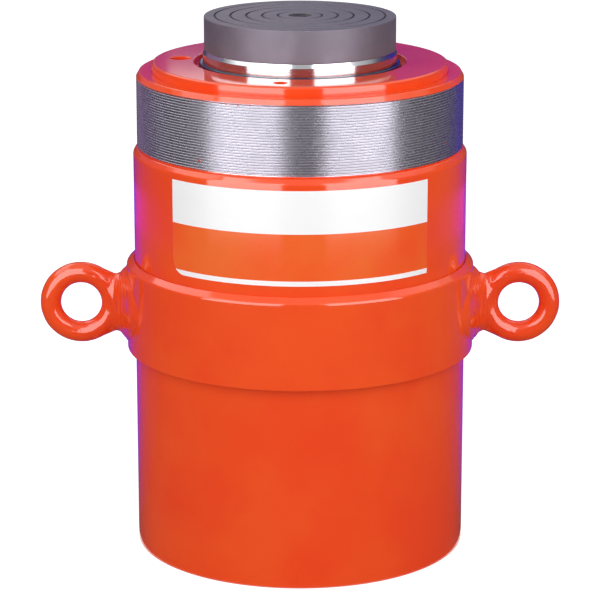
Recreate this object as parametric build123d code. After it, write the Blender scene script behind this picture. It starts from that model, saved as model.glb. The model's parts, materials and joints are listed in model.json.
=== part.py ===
from build123d import *

import math
import os

# Driving sizes in millimetres. Heights are measured up from the underside of the base.

barrel_radius = 203.2
bore_radius = 146.05
rod_radius = 117.5
stroke = 333.4
base_thickness = 75.0
barrel_top = 592.0

# The collar thread is modelled as a plain cylinder at its major diameter.
collar_thread_radius = 198.4
collar_thread_bottom = 506.3
collar_thread_top = 585.7
collar_relief_radius = 196.2
shoulder_bottom = 493.0
shoulder_top = 499.6
shoulder_top_radius = 198.9
mouth_face_radius = 195.0

# The gland nut screws into the mouth of the barrel and carries the rod's seals.
gland_top = 603.2
gland_rim_radius = 179.0
gland_rim_bottom = 580.0
gland_thread_radius = 168.0
gland_thread_bottom = 528.0
gland_underside = 502.0
gland_rod_bore = 118.1
wiper_recess_radius = 128.3
wiper_recess_bottom = 596.8

# The piston is held on the rod's spigot by a nut sunk in its underside.
piston_radius = 145.6
piston_bottom = base_thickness + 0.3
piston_top = gland_underside - stroke - 0.6
spigot_radius = 70.0
nut_recess_radius = 98.0
nut_recess_top = 108.0

# The saddle stands on the end of the rod.
rod_top = 618.4
saddle_radius = 116.0
saddle_top = 658.3
saddle_spigot_bottom = 590.0
socket_radius = 38.1
socket_bottom = 588.4
saddle_thread_radius = 11.11
saddle_groove_radii = [26.7 + 19.05 * step for step in range(5)]

# The lifting band is a ring shrunk round the barrel, with an eye welded to each side.
band_radius = 213.4
band_bottom = 249.2
band_edge = 354.2
band_top = 364.1
eye_reach = 270.4
eye_height = 301.0
eye_outer_radius = 50.8
eye_section_radius = 13.2
eye_hole_radius = 25.0

# The relief valve and the spanner holes stand in the top of the gland nut.
relief_place_radius = 146.4
relief_place_angle = 173.6
relief_pocket_radius = 12.45
relief_pocket_bottom = 560.0
spanner_place_radius = 152.9
spanner_place_angle = 261.5
spanner_hole_radius = 8.35
spanner_hole_depth = 14.0

# The couplers stand on flat spots at the back of the barrel.
flat_spot_reach = 202.0
flat_spot_radius = 20.0
port_heights = {"advance": 40.0, "retract": 460.0}
port_thread_radius = 8.4
port_thread_depth = 20.0
advance_rise_reach = 90.0
annulus_groove_radius = 149.0
annulus_groove_bottom = 484.0
annulus_groove_top = 500.0

# The gap that a shrunk or sliding fit leaves in the model.
running_gap = 0.05


def turned(*corners):
    """Turn an outline of (radius, height) corners about the upright axis. A third number rounds its corner."""
    outline = make_face(Polyline(*[corner[:2] for corner in corners], close=True))
    for corner in corners:
        if len(corner) == 3:
            vertex = outline.vertices().sort_by_distance((corner[0], corner[1], 0))[0]
            outline = fillet(vertex, corner[2])
    return revolve(Plane.XZ * outline, Axis.Z)


def ring(inner, outer, bottom, top):
    """A plain ring about the upright axis."""
    return turned((inner, bottom), (outer, bottom), (outer, top), (inner, top))


def disc(radius, bottom, top):
    """A plain round bar about the upright axis."""
    return Pos(0, 0, bottom) * Cylinder(radius, top - bottom, align=(Align.CENTER, Align.CENTER, Align.MIN))


def o_ring(inner, outer, height):
    """A ring of round cord, with its middle at the given height."""
    return Pos(0, 0, height) * Torus((inner + outer) / 2, (outer - inner) / 2)


def drilling(radius, start, end):
    """A round hole from one point to another."""
    run = Vector(*end) - Vector(*start)
    mouth = Plane(origin=start, z_dir=run)
    return mouth * Cylinder(radius, run.length, align=(Align.CENTER, Align.CENTER, Align.MIN))


def split(band, gap, angle):
    """Cut a gap through one side of a ring, so that it can be sprung into its groove."""
    size = band.bounding_box().size
    saw = Pos(size.X / 2, 0, band.center().Z) * Box(size.X / 2, gap, size.Z * 2)
    return band - Rot(0, 0, angle) * saw


def on_gland(radius, angle):
    """A place on the gland nut, from its distance off the axis and its angle."""
    turn = math.radians(angle)
    return radius * math.cos(turn), radius * math.sin(turn)


def barrel():
    """The body, forged in one with its base and bored from above."""
    floor_corner = 6.0
    solid = turned(
        (0, 0),
        (barrel_radius, 0, 2.0),
        (barrel_radius, shoulder_bottom, 2.0),
        (shoulder_top_radius, shoulder_top, 1.0),
        (collar_relief_radius, shoulder_top + 2.5),
        (collar_relief_radius, collar_thread_bottom),
        (collar_thread_radius, collar_thread_bottom + 1.5),
        (collar_thread_radius, collar_thread_top),
        (mouth_face_radius, barrel_top, 1.2),
        (gland_rim_radius + 0.1, barrel_top),
        (gland_rim_radius + 0.1, gland_rim_bottom),
        (gland_thread_radius, gland_rim_bottom),
        (gland_thread_radius, gland_thread_bottom - 1.0),
        (bore_radius, gland_thread_bottom - 1.0),
        (bore_radius, annulus_groove_top),
        (annulus_groove_radius, annulus_groove_top - 1.5),
        (annulus_groove_radius, annulus_groove_bottom + 3.0),
        (bore_radius, annulus_groove_bottom),
        (bore_radius, base_thickness, floor_corner),
        (0, base_thickness),
    )
    for height in port_heights.values():
        spot = drilling(flat_spot_radius, (0, flat_spot_reach, height), (0, barrel_radius + 5, height))
        thread = drilling(
            port_thread_radius,
            (0, flat_spot_reach - port_thread_depth, height),
            (0, barrel_radius, height),
        )
        solid = solid - spot - thread
    bottom_of_port = flat_spot_reach - port_thread_depth + 1.0
    low = port_heights["advance"]
    high = port_heights["retract"]
    oil_passage_radius = 4.0
    along = drilling(oil_passage_radius, (0, bottom_of_port, low), (0, advance_rise_reach - 5, low))
    rise = drilling(oil_passage_radius, (0, advance_rise_reach, low), (0, advance_rise_reach, base_thickness + 1))
    slant = drilling(
        oil_passage_radius,
        (0, bottom_of_port + 2, high),
        (0, annulus_groove_radius - 2, annulus_groove_bottom + 7),
    )
    return solid - along - rise - slant


def gland_nut():
    """The screwed end of the barrel, with the rod's seals in grooves and a rim that stands proud of the mouth."""
    solid = turned(
        (gland_rod_bore, gland_underside, 1.5),
        (bore_radius - running_gap, gland_underside, 2.0),
        (bore_radius - running_gap, 508.0),
        (140.5, 508.0),
        (140.5, 517.0),
        (bore_radius - running_gap, 517.0),
        (bore_radius - running_gap, gland_thread_bottom),
        (gland_thread_radius - running_gap, gland_thread_bottom),
        (gland_thread_radius - running_gap, gland_rim_bottom),
        (gland_rim_radius, gland_rim_bottom),
        (gland_rim_radius, gland_top, 3.5),
        (wiper_recess_radius, gland_top, 0.8),
        (wiper_recess_radius, wiper_recess_bottom),
        (123.0, wiper_recess_bottom),
        (123.0, 588.0),
        (gland_rod_bore, 588.0),
        (gland_rod_bore, 582.0),
        (126.0, 582.0),
        (126.0, 566.0),
        (gland_rod_bore, 566.0),
        (gland_rod_bore, 560.0),
        (120.5, 560.0),
        (120.5, 538.0),
        (gland_rod_bore, 538.0),
        (gland_rod_bore, 530.0),
        (120.5, 530.0),
        (120.5, 508.0),
        (gland_rod_bore, 508.0),
    )
    x, y = on_gland(relief_place_radius, relief_place_angle)
    solid = solid - drilling(relief_pocket_radius, (x, y, relief_pocket_bottom), (x, y, gland_top + 1))
    inner_x, inner_y = on_gland(131.0, relief_place_angle)
    solid = solid - drilling(2.5, (x, y, relief_pocket_bottom + 1), (inner_x, inner_y, gland_underside - 2))
    for turn in (0, 180):
        x, y = on_gland(spanner_place_radius, spanner_place_angle + turn)
        solid = solid - drilling(spanner_hole_radius, (x, y, gland_top - spanner_hole_depth), (x, y, gland_top + 1))
    return solid


def gland_seals():
    """Everything that sits in the grooves of the gland nut."""
    inner = rod_radius + running_gap
    wiper = turned(
        (inner, 588.1, 0.5),
        (122.95, 588.1),
        (122.95, wiper_recess_bottom),
        (121.5, wiper_recess_bottom + 1.0),
        (121.5, gland_top - 0.5, 1.2),
        (inner, gland_top - 0.9),
        (inner + 2.0, gland_top - 5.0),
        (inner + 2.0, gland_top - 8.0),
        (inner, gland_top - 9.5),
    )
    rod_seal = turned(
        (inner, 566.5),
        (inner + 2.2, 566.1),
        (inner + 3.6, 570.0),
        (125.95 - 3.6, 570.0),
        (125.95 - 2.2, 566.1),
        (125.95, 566.5),
        (125.95, 577.0),
        (inner, 577.0),
    )
    lower = split(ring(inner, 120.45, 508.1, 529.9), 3.0, 60)
    upper = split(ring(inner, 120.45, 538.1, 559.9), 3.0, 240)
    return {
        "wiper": wiper,
        "rod_seal": rod_seal,
        "rod_backup_ring": ring(inner, 125.9, 577.1, 581.9),
        "rod_wear_rings": lower + upper,
        "gland_o_ring": o_ring(140.6, bore_radius - running_gap, 511.0),
        "gland_backup_ring": ring(140.55, bore_radius - running_gap, 513.9, 516.9),
    }


def piston_rod():
    """The chromed rod, with a spigot for the piston below and a socket for the saddle above."""
    solid = turned(
        (0, 82.0),
        (spigot_radius, 82.0, 2.0),
        (spigot_radius, piston_top),
        (rod_radius, piston_top),
        (rod_radius, rod_top - 5.0),
        (rod_radius - 2.3, rod_top, 0.6),
        (socket_radius + 1.0, rod_top),
        (socket_radius, rod_top - 1.0),
        (socket_radius, socket_bottom),
        (14.0, socket_bottom),
        (14.0, socket_bottom - 22.0),
        (0, socket_bottom - 30.0),
    )
    return solid


def piston():
    """The piston head, grooved for its seals, with a reduced land on top that lets oil in at full stroke."""
    land = 138.0
    return turned(
        (nut_recess_radius, piston_bottom),
        (land, piston_bottom),
        (piston_radius, piston_bottom + 8.0),
        (piston_radius, 88.0),
        (142.5, 88.0),
        (142.5, 104.0),
        (piston_radius, 104.0),
        (piston_radius, 108.0),
        (137.0, 108.0),
        (137.0, 126.0),
        (piston_radius, 126.0),
        (piston_radius, 130.0),
        (142.5, 130.0),
        (142.5, 146.0),
        (piston_radius, 146.0),
        (piston_radius, 154.0),
        (land, 156.0, 1.0),
        (land, piston_top, 1.5),
        (spigot_radius + running_gap, piston_top),
        (spigot_radius + running_gap, 142.0),
        (spigot_radius + 3.5, 142.0),
        (spigot_radius + 3.5, 137.0),
        (spigot_radius + running_gap, 137.0),
        (spigot_radius + running_gap, nut_recess_top),
        (nut_recess_radius, nut_recess_top),
    )


def piston_seals():
    """Everything that sits in the grooves of the piston."""
    outer = bore_radius - running_gap
    seal = turned(
        (137.05, 112.1),
        (outer - 1.2, 112.1),
        (outer, 114.0),
        (outer, 120.0),
        (outer - 1.2, 121.9),
        (137.05, 121.9),
    )
    backups = ring(137.05, outer - 0.1, 108.1, 112.0) + ring(137.05, outer - 0.1, 122.0, 125.9)
    lower = split(ring(142.55, outer, 88.1, 103.9), 3.0, 20)
    upper = split(ring(142.55, outer, 130.1, 145.9), 3.0, 200)
    return {
        "piston_seal": seal,
        "piston_backup_rings": backups,
        "piston_wear_rings": lower + upper,
        "piston_o_ring": o_ring(spigot_radius + running_gap, spigot_radius + 3.45, 139.5),
    }


def piston_nut():
    """The round nut on the rod's spigot, with four spanner slots and a hole for its locking screw."""
    outer = nut_recess_radius - 3.0
    nut = turned(
        (spigot_radius + running_gap, 82.0, 1.0),
        (outer, 82.0, 2.0),
        (outer, nut_recess_top),
        (spigot_radius + running_gap, nut_recess_top),
    )
    for turn in range(0, 360, 90):
        nut = nut - Rot(0, 0, turn) * (Pos(outer, 0, 86.0) * Box(16, 14, 10))
    return nut - drilling(4.05, (0, -82.5, 80.0), (0, -82.5, nut_recess_top + 1))


def piston_nut_screw():
    """The set screw that locks the nut against the piston, with a hexagon socket in its lower end."""
    screw = disc(4.0, 84.0, nut_recess_top)
    socket = Pos(0, 0, 84.0) * extrude(RegularPolygon(2.0, 6, major_radius=False), 4.5)
    return Pos(0, -82.5, 0) * (screw - socket)


def saddle():
    """The load cap, grooved on top, with a threaded hole down its middle and a spigot below."""
    groove_half_width = 1.5
    groove_depth = 1.5
    solid = turned(
        (saddle_thread_radius, saddle_spigot_bottom),
        (socket_radius - running_gap, saddle_spigot_bottom, 1.0),
        (socket_radius - running_gap, 600.0),
        (34.5, 600.0),
        (34.5, 604.0),
        (socket_radius - running_gap, 604.0),
        (socket_radius - running_gap, rod_top),
        (saddle_radius, rod_top, 0.8),
        (saddle_radius, saddle_top, 1.2),
        (saddle_thread_radius + 3.0, saddle_top),
        (saddle_thread_radius, saddle_top - 3.0),
    )
    for radius in saddle_groove_radii:
        solid = solid - turned(
            (radius - groove_half_width, saddle_top + 1),
            (radius - groove_half_width, saddle_top),
            (radius - groove_half_width / 2, saddle_top - groove_depth),
            (radius + groove_half_width / 2, saddle_top - groove_depth),
            (radius + groove_half_width, saddle_top),
            (radius + groove_half_width, saddle_top + 1),
        )
    return solid


def lifting_band():
    """The ring round the barrel, bevelled along its top edge."""
    inner = barrel_radius + running_gap
    return turned(
        (inner, band_bottom),
        (band_radius, band_bottom, 0.8),
        (band_radius, band_edge, 6.0),
        (inner, band_top, 1.0),
    )


def neck_section(reach, half_width, half_height):
    """An oval across the neck of an eye, at a distance from the barrel's axis."""
    return Plane.YZ.offset(reach) * Pos(0, eye_height) * Ellipse(half_width, half_height)


def lifting_eye():
    """A forged ring of round section on a neck that narrows towards the band, for the right side."""
    ring_place = Pos(eye_reach, 0, eye_height) * Rot(90, 0, 0)
    middle_radius = eye_outer_radius - eye_section_radius
    loop = ring_place * Torus(middle_radius, eye_section_radius) - ring_place * Cylinder(eye_hole_radius, 80)
    # The neck ends inside the round section, so that the ring keeps its shape round the whole hole.
    neck = loft([
        neck_section(252.0, 12.9, 46.6),
        neck_section(238.0, 14.0, 41.0),
        neck_section(224.0, 18.0, 34.5),
        neck_section(205.0, 24.0, 34.0),
    ])
    neck = neck - ring_place * Cylinder(middle_radius, 80)
    return loop + neck - disc(band_radius, 0, barrel_top)


def eye_weld(eye):
    """The weld that spreads from the neck of an eye over the face of the band."""
    flare = loft([
        neck_section(229.0, 17.4, 34.0),
        neck_section(221.0, 29.0, 38.5),
        neck_section(213.4, 52.0, 46.5),
        neck_section(206.0, 74.0, 50.0),
        neck_section(192.0, 91.0, 51.0),
    ])
    return flare - eye - disc(band_radius, 0, barrel_top)


def relief_valve():
    """The valve that vents the rod side of the bore: seat, ball, spring and hollow plug."""
    outer = relief_pocket_radius - running_gap
    seat_top = relief_pocket_bottom + 8.0
    ball_radius = 3.0
    hole_radius = 1.6
    seat = turned(
        (hole_radius, relief_pocket_bottom, 0.4),
        (outer, relief_pocket_bottom, 0.5),
        (outer, seat_top),
        (hole_radius + 1.4, seat_top),
        (hole_radius, seat_top - 1.4),
    )
    # The ball just clears a seat that slopes at 45 degrees.
    ball_height = seat_top - hole_radius - 1.4 + ball_radius * math.sqrt(2) + running_gap
    ball = Pos(0, 0, ball_height) * Sphere(ball_radius)
    plug_bottom = 586.0
    plug_top = 598.0
    plug = turned(
        (2.5, plug_bottom),
        (outer, plug_bottom, 0.6),
        (outer, plug_top, 1.0),
        (2.5, plug_top),
    )
    plug = plug - Pos(0, 0, plug_top - 6.0) * extrude(RegularPolygon(5.0, 6, major_radius=False), 7.0)
    coil = spring(2.1, 0.6, ball_height + 2.9, plug_bottom - 0.7, 4)
    x, y = on_gland(relief_place_radius, relief_place_angle)
    pieces = {"seat": seat, "ball": ball, "plug": plug, "spring": coil}
    return {"relief_valve_" + name: Pos(x, y, 0) * piece for name, piece in pieces.items()}


def spring(coil_radius, wire_radius, bottom, top, turns):
    """A coil spring about the upright axis, between two heights."""
    rise = top - bottom
    path = Pos(0, 0, bottom) * Helix(rise / turns, rise, coil_radius)
    start = Plane(origin=path @ 0, z_dir=path % 0)
    return sweep(start * Circle(wire_radius), path, is_frenet=True)


def coupler():
    """A screwed quick coupler half that stands up from its flat spot at height 0, ready to be laid over."""
    shank_radius = port_thread_radius - running_gap
    passage = 6.2
    seat_start = 18.0
    seat_radius = 3.4
    seat_end = seat_start + passage - seat_radius
    mouth = 9.5
    mouth_bottom = 26.0
    thread = 15.1
    tip = 44.0
    body = turned(
        (passage, -port_thread_depth + 2.0),
        (shank_radius - 1.0, -port_thread_depth + 2.0),
        (shank_radius, -port_thread_depth + 3.0),
        (shank_radius, 0),
        (17.5, 0),
        (17.5, 18.0),
        (13.4, 18.0),
        (13.4, 22.0),
        (thread, 23.0),
        (thread, tip - 2.0),
        (13.6, tip),
        (mouth + 1.0, tip),
        (mouth, tip - 1.0),
        (mouth, 33.0),
        (mouth + 1.9, 33.0),
        (mouth + 1.9, 30.0),
        (mouth, 30.0),
        (mouth, mouth_bottom),
        (seat_radius, mouth_bottom),
        (seat_radius, seat_end),
        (passage, seat_start),
    )
    hexagon = extrude(RegularPolygon(15.0, 6, major_radius=False), 18.0)
    upper = disc(thread + 0.5, 18.0, tip)
    shank = disc(shank_radius + 0.5, -port_thread_depth, 0)
    body = body & (hexagon + upper + shank)
    ball_radius = 5.5
    ball_height = seat_start + passage - ball_radius * math.sqrt(2) - running_gap
    ball = Pos(0, 0, ball_height) * Sphere(ball_radius)
    retainer = disc(passage - running_gap, -17.0, -14.5)
    for turn in range(0, 360, 120):
        retainer = retainer - Rot(0, 0, turn) * Pos(3.4, 0, -16) * Cylinder(1.5, 10)
    coil = spring(3.6, 0.7, -13.7, ball_height - 5.1, 5)
    plug = turned(
        (0, 33.5),
        (mouth - 0.4, 33.5, 0.6),
        (mouth - 0.4, 36.0),
        (mouth - running_gap, 36.8),
        (mouth - 0.4, 37.6),
        (mouth - 0.4, tip + 0.3),
        (12.5, tip + 0.3, 0.5),
        (12.5, tip + 2.5, 0.8),
        (5.0, tip + 2.5, 1.0),
        (5.0, tip + 7.5),
        (7.0, tip + 9.0),
        (7.0, tip + 11.5, 1.0),
        (0, tip + 11.5),
    )
    return {
        "coupler_body": body,
        "coupler_ball": ball,
        "coupler_spring": coil,
        "coupler_spring_retainer": retainer,
        "coupler_face_seal": o_ring(mouth - 0.6, mouth + 1.85, 31.5),
        "dust_plug": plug,
    }


def couplers():
    """The two couplers, laid over to point straight back from the barrel."""
    pieces = {}
    for port, height in port_heights.items():
        place = Pos(0, flat_spot_reach, height) * Rot(-90, 0, 0)
        for name, piece in coupler().items():
            pieces[port + "_" + name] = place * piece
    return pieces


right_eye = lifting_eye()
right_weld = eye_weld(right_eye)

nodes = {
    "barrel": barrel(),
    "gland_nut": gland_nut(),
    "piston_rod": piston_rod(),
    "piston": piston(),
    "piston_nut": piston_nut(),
    "piston_nut_screw": piston_nut_screw(),
    "saddle": saddle(),
    "saddle_o_ring": o_ring(34.55, socket_radius - running_gap, 602.0),
    "lifting_band": lifting_band(),
    "right_lifting_eye": right_eye,
    "left_lifting_eye": mirror(right_eye, Plane.YZ),
    "right_eye_weld": right_weld,
    "left_eye_weld": mirror(right_weld, Plane.YZ),
}
nodes.update(gland_seals())
nodes.update(piston_seals())
nodes.update(relief_valve())
nodes.update(couplers())

os.makedirs("parts", exist_ok=True)
for name, shape in nodes.items():
    export_step(shape, "parts/" + name + ".step")
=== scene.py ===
import json
import math

import bmesh
import bpy
from bpy.props import FloatProperty, FloatVectorProperty, PointerProperty
from bpy.types import Operator, Panel, PropertyGroup
from mathutils import Matrix, Vector, noise


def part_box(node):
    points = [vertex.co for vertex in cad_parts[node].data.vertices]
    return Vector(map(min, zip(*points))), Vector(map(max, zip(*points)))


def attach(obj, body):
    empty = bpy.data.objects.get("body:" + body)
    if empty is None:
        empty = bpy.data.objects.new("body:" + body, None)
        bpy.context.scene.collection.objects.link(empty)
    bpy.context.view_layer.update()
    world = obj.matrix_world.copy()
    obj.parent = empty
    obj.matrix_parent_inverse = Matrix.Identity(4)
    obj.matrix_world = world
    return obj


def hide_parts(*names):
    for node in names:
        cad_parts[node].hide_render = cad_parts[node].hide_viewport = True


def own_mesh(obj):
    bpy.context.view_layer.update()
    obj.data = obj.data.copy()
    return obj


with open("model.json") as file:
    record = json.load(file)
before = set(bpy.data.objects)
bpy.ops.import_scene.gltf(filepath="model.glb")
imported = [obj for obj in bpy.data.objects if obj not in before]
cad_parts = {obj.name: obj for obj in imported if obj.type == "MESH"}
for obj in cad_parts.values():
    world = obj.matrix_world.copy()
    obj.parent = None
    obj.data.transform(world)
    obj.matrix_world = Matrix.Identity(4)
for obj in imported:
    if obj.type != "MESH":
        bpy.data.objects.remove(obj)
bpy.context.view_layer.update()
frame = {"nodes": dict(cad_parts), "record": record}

bl_info = {
    "name": "Double-acting hydraulic cylinder",
    "version": (1, 0, 0),
    "blender": (4, 5, 0),
    "location": "View3D > Sidebar > Cylinder",
    "description": "Dresses the packed cylinder: paint, threads, lifting eyes, couplers, label and stage",
    "category": "Object",
}

MM = 0.001
WHITE = (1.0, 1.0, 1.0, 1.0)
# Faces round a large turned piece and round a small one, and a length too short to matter.
FINE_TURN = 256
SMALL_TURN = 96
SMALLEST = 1e-6

box_of = {node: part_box(node) for node in frame["nodes"]}
slot_of = {part["node"]: part["material_slot"] for part in frame["record"]["subparts"]}
recorded_colour = {slot["slot"]: (*slot["base_color"], 1.0) for slot in frame["record"]["materials"]}


# Properties: the sizes and colours that a user may change


def length(label, about, default):
    """A size in metres."""
    settings = {"default": default, "min": 0.0, "precision": 5, "subtype": "DISTANCE", "unit": "LENGTH"}
    return FloatProperty(name=label, description=about, **settings)


def angle(label, about, degrees):
    """A turn, kept in radians and shown in degrees."""
    settings = {"default": math.radians(degrees), "subtype": "ANGLE", "unit": "ROTATION"}
    return FloatProperty(name=label, description=about, **settings)


def share(label, about, default):
    """A plain number."""
    return FloatProperty(name=label, description=about, default=default, min=0.0)


def screen(red, green, blue):
    """A linear colour, from the three numbers that a screen shows for it."""
    parts = [part / 255 for part in (red, green, blue)]
    linear = [part / 12.92 if part <= 0.04045 else ((part + 0.055) / 1.055) ** 2.4 for part in parts]
    return (*linear, 1.0)


def colour(label, about, default):
    """A linear colour with its alpha."""
    settings = {"default": default, "size": 4, "min": 0.0, "max": 1.0, "subtype": "COLOR"}
    return FloatVectorProperty(name=label, description=about, **settings)


class CylinderSizes(PropertyGroup):
    """Sizes of the cylinder's own pieces."""

    barrel_radius: length("Barrel radius", "Outside of the painted barrel", box_of["barrel"][1].x)
    barrel_top: length("Barrel top", "Height of the barrel's mouth", box_of["barrel"][1].z)
    bore_radius: length("Bore radius", "Inside of the barrel", 146.05 * MM)
    base_thickness: length("Base thickness", "Solid floor under the bore", 75.0 * MM)
    shoulder_bottom: length("Shoulder bottom", "Height where the shoulder starts to slope", 493.0 * MM)
    shoulder_top: length("Shoulder top", "Height where the painted shoulder ends", 499.6 * MM)
    collar_crest: length("Collar crest", "Radius of the collar thread's crests", 198.4 * MM)
    collar_root: length("Collar root", "Radius of the collar thread's roots", 196.4 * MM)
    collar_pitch: length("Collar pitch", "Height of one turn of the collar thread", 3.175 * MM)
    collar_bottom: length("Collar bottom", "Height where the collar thread starts", 501.0 * MM)
    collar_top: length("Collar top", "Height where the collar thread ends", 585.7 * MM)
    mouth_radius: length("Mouth radius", "Outside of the barrel's flat mouth", 195.0 * MM)
    gland_radius: length("Gland radius", "Outside of the gland nut's rim", box_of["gland_nut"][1].x)
    gland_top: length("Gland top", "Height of the gland nut's face", box_of["gland_nut"][1].z)
    recess_radius: length("Recess radius", "Recess round the wiper in the gland nut", 128.3 * MM)
    recess_bottom: length("Recess bottom", "Height of the floor of that recess", 596.8 * MM)
    rod_radius: length("Rod radius", "Outside of the chromed rod", box_of["piston_rod"][1].x)
    rod_top: length("Rod top", "Height of the rod's end", box_of["piston_rod"][1].z)
    socket_radius: length("Socket radius", "Socket in the rod for the saddle's spigot", 38.1 * MM)
    saddle_radius: length("Saddle radius", "Outside of the saddle", box_of["saddle"][1].x)
    saddle_top: length("Saddle top", "Height of the saddle's face", box_of["saddle"][1].z)
    groove_radius: length("Groove radius", "Radius of the saddle's smallest groove", 26.7 * MM)
    groove_step: length("Groove step", "Distance between the saddle's grooves", 19.05 * MM)
    groove_width: length("Groove width", "Width of each groove in the saddle", 3.0 * MM)
    groove_depth: length("Groove depth", "Depth of each groove in the saddle", 1.5 * MM)
    hole_radius: length("Hole radius", "Threaded hole in the saddle, at its crests", 11.11 * MM)
    band_radius: length("Band radius", "Outside of the lifting band", 213.37 * MM)
    band_bottom: length("Band bottom", "Height of the lifting band's lower edge", box_of["lifting_band"][0].z)
    band_edge: length("Band edge", "Height where the band's bevel starts", 354.2 * MM)
    band_top: length("Band top", "Height of the lifting band's upper edge", box_of["lifting_band"][1].z)
    crevice_width: length("Crevice width", "Gap between the band's upper edge and the barrel", 1.3 * MM)
    crevice_depth: length("Crevice depth", "Depth of that gap", 3.5 * MM)
    eye_reach: length("Eye reach", "Distance of an eye's middle from the barrel's axis", 270.4 * MM)
    eye_height: length("Eye height", "Height of an eye's middle", 301.0 * MM)
    eye_outer_radius: length("Eye outer radius", "Outside of an eye's ring", 50.8 * MM)
    eye_hole_radius: length("Eye hole radius", "Hole through an eye", 25.0 * MM)
    bead_height: length("Bead height", "How far the weld's beads stand up", 0.9 * MM)
    flat_spot_reach: length("Flat spot reach", "Reach of the couplers' flat spots", 202.0 * MM)
    flat_spot_radius: length("Flat spot radius", "Radius of those flat spots", 20.0 * MM)
    label_half_angle: angle("Label half angle", "Half of the turn that the label covers", 47.4)
    label_bottom: length("Label bottom", "Height of the label's lower edge", 373.3 * MM)
    label_stripe_top: length("Stripe top", "Height of the upper edge of the white stripe", 379.2 * MM)
    label_band_bottom: length("White band bottom", "Height of the lower edge of the white band", 435.2 * MM)
    label_top: length("Label top", "Height of the label's upper edge", 486.6 * MM)
    label_corner: length("Label corner", "Round at the label's lower left corner", 18.0 * MM)
    label_thickness: length("Label thickness", "Thickness of the printed film", 0.14 * MM)


class CylinderColours(PropertyGroup):
    """Colours of the cylinder's finishes."""

    paint: colour("Paint", "Orange-red enamel", screen(247, 86, 32))
    deep_paint: colour("Deep paint", "The same enamel where it lies thicker", screen(244, 73, 28))
    steel: colour("Steel", "Bare turned steel", screen(196, 194, 194))
    thread: colour("Thread", "Bare steel of the collar thread", screen(186, 183, 191))
    chrome: colour("Chrome", "Hard chrome on the rod", screen(216, 217, 221))
    oxide: colour("Oxide", "Dark grey saddle", screen(105, 98, 110))
    zinc: colour("Zinc", "Bright plating on the couplers", screen(200, 200, 196))
    wiper: colour("Wiper", "Dark blue wiper ring", screen(24, 28, 66))
    label_white: colour("Label white", "White film of the label", screen(248, 248, 249))
    label_orange: colour("Label orange", "Orange field of the label", screen(246, 110, 46))


class CylinderStage(PropertyGroup):
    """Camera, floor, cloths, cards and lamps."""

    camera_distance: length("Camera distance", "How far the camera stands in front of the axis", 3.2915)
    camera_height: length("Camera height", "Height of the lens", 1.1813)
    camera_pitch: angle("Camera pitch", "How far the camera looks down", 14.939)
    camera_lens: share("Camera lens", "Focal length in millimetres, on a sensor 36 wide", 165.15)
    lamp_distance: length("Lamp distance", "How far the two front lamps stand from the axis", 1.65)
    lamp_power: share("Lamp power", "Watts for each square metre of the two front lamps", 4.25)
    world_strength: share("World strength", "Plain light from all round", 0.61)
    card_glow: share("Card glow", "Brightness of the two white cards that the gloss shows", 4.4)
    side_glow: share("Side glow", "Brightness of the card high on the left, and twice the right one's", 2.1)
    rear_glow: share("Rear glow", "Brightness of the card behind, which the gland nut's face shows", 1.4)
    floor_glow: share("Floor glow", "White that the floor adds where it is seen", 0.8)
    tent_radius: length("Tent radius", "Radius of the cloths that the gloss shows", 2.1)
    tent_height: length("Tent height", "Height of that tent", 1.45)
    floor: colour("Floor", "Pale floor", (0.52, 0.52, 0.52, 1.0))
    dark_cloth: colour("Dark cloth", "The tent's front, and its middle height", (0.068, 0.060, 0.090, 1.0))
    mauve_card: colour("Mauve card", "Card behind on the left, for the rod's end", (0.26, 0.17, 0.28, 1.0))
    blue_cloth: colour("Blue cloth", "The tent's rear, for violet edges on paint", (0.05, 0.02, 0.38, 1.0))


# Shader maths: sockets that Python's own signs can reckon with


def reckoned(operation, swapped=False):
    """A method that adds the Math node for one of Python's signs."""

    def method(self, other):
        pair = (other, self) if swapped else (self, other)
        return self.finish.reckon(operation, *pair)

    return method


class Value:
    """A number that varies over a surface."""

    def __init__(self, finish, socket):
        self.finish = finish
        self.socket = socket

    __add__ = reckoned("ADD")
    __radd__ = reckoned("ADD", swapped=True)
    __sub__ = reckoned("SUBTRACT")
    __rsub__ = reckoned("SUBTRACT", swapped=True)
    __mul__ = reckoned("MULTIPLY")
    __rmul__ = reckoned("MULTIPLY", swapped=True)


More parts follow.
